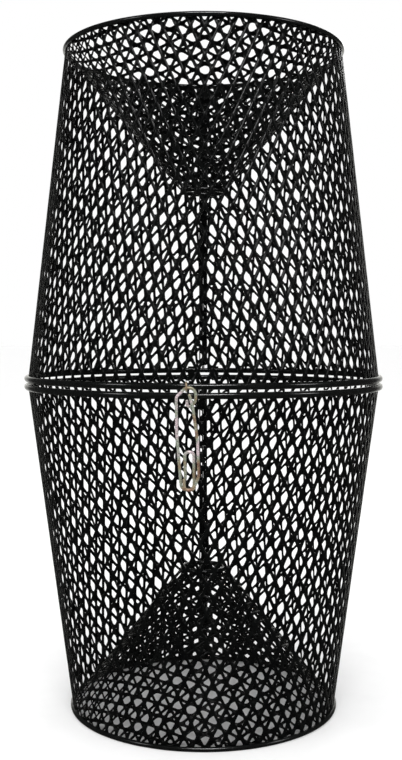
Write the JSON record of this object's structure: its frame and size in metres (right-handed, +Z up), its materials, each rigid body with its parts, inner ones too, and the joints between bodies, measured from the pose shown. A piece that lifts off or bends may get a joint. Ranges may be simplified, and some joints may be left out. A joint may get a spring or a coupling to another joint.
{
  "type": "wire mesh crab trap",
  "caption": "Two tapered mesh halves joined at their wide mouths by a rear hinge and a front snap clip, each narrow end closed by a mesh funnel that leads inwards.",
  "frame": {"origin": "centre of the lower end rim's underside, on the surface that the trap stands on", "axes": "+Z up along the trap's axis; -Y is the front, where the snap clip hangs; the seams and the hinge are at +Y"},
  "size_m": [0.2286, 0.2343, 0.419],
  "materials": {
    "coated_mesh": "semi-gloss black dip coating on expanded steel",
    "coated_rim": "semi-gloss black dip coating, smooth",
    "coated_wire": "black dip coating over steel staples",
    "hoop_wire": "drawn steel wire, hidden in the hems",
    "zinc_wire": "zinc-plated spring wire with light tarnish"
  },
  "bodies": {
    "lower_half": {"hinge_strap_left": "coated_rim", "hinge_strap_right": "coated_rim", "lower_end_hem": "coated_rim", "lower_end_hoop": "hoop_wire", "lower_funnel_mesh": "coated_mesh", "lower_funnel_seam": "coated_mesh", "lower_funnel_staples": "coated_wire", "lower_mouth_hem": "coated_rim", "lower_mouth_hoop": "hoop_wire", "lower_throat_ring": "coated_rim", "lower_wall_mesh": "coated_mesh", "lower_wall_seam": "coated_mesh", "lower_wall_staples": "coated_wire"},
    "upper_half": {"upper_end_hem": "coated_rim", "upper_end_hoop": "hoop_wire", "upper_funnel_mesh": "coated_mesh", "upper_funnel_seam": "coated_mesh", "upper_funnel_staples": "coated_wire", "upper_mouth_hem": "coated_rim", "upper_mouth_hoop": "hoop_wire", "upper_throat_ring": "coated_rim", "upper_wall_mesh": "coated_mesh", "upper_wall_seam": "coated_mesh", "upper_wall_staples": "coated_wire", "clip_eye": "zinc_wire"},
    "snap_clip": {"clip_frame": "zinc_wire"},
    "clip_spring_arm": {"clip_arm": "zinc_wire"}
  },
  "joints": [
    {"name": "lid_hinge", "type": "hinge", "parent": "lower_half", "child": "upper_half", "pos_m": [0, 0.11224, 0.21205], "axis": [-1, 0, 0], "range_deg": [0, 130]},
    {"name": "clip_swing", "type": "hinge", "parent": "upper_half", "child": "snap_clip", "pos_m": [-0.0083, -0.116, 0.2116], "axis": [-1, 0, 0], "range_deg": [0, 110]},
    {"name": "clip_arm_flex", "type": "hinge", "parent": "snap_clip", "child": "clip_spring_arm", "pos_m": [-0.0085, -0.1179, 0.1592], "axis": [0, -1, 0], "range_deg": [0, 10], "stiffness_Nm_per_rad": 0.05}
  ]
}
